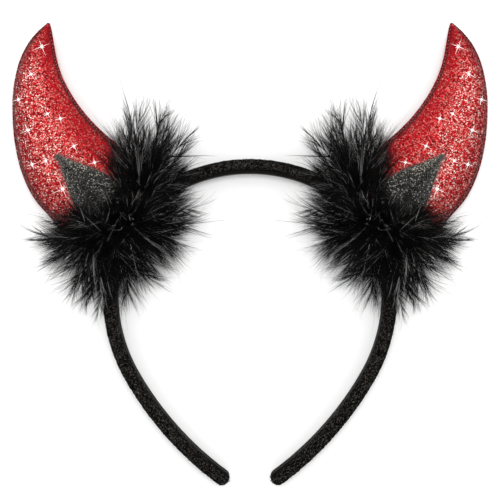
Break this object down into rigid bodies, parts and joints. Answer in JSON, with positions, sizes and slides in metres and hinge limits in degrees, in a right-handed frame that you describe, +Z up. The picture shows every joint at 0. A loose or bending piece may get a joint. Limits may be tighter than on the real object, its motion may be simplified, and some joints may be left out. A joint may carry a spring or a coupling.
{
  "type": "devil horns headband",
  "caption": "Springy padded headband with a stuffed glitter horn, a pointed felt leaf and a round marabou feather puff on each side.",
  "frame": {"origin": "on the surface that the headband lies on, at the middle of its bounding box in plan", "axes": "+X along the headband's width, to the right as the front is seen; +Y from the band's ends to the horn tips; +Z up, out of the front of the headband"},
  "size_m": [0.2086, 0.2025, 0.0351],
  "materials": {
    "band_fabric": "black sanded glitter fabric",
    "lining_ribbon": "smooth black ribbon",
    "horn_fabric": "red glitter fabric over stuffing",
    "leaf_felt": "black glitter felt",
    "marabou": "soft black down"
  },
  "bodies": {
    "root": {"band": "band_fabric", "band_lining": "lining_ribbon", "horn_left": "horn_fabric", "horn_right": "horn_fabric", "leaf_left": "leaf_felt", "leaf_right": "leaf_felt", "feather_puff_left": "marabou", "feather_puff_right": "marabou"}
  },
  "joints": []
}
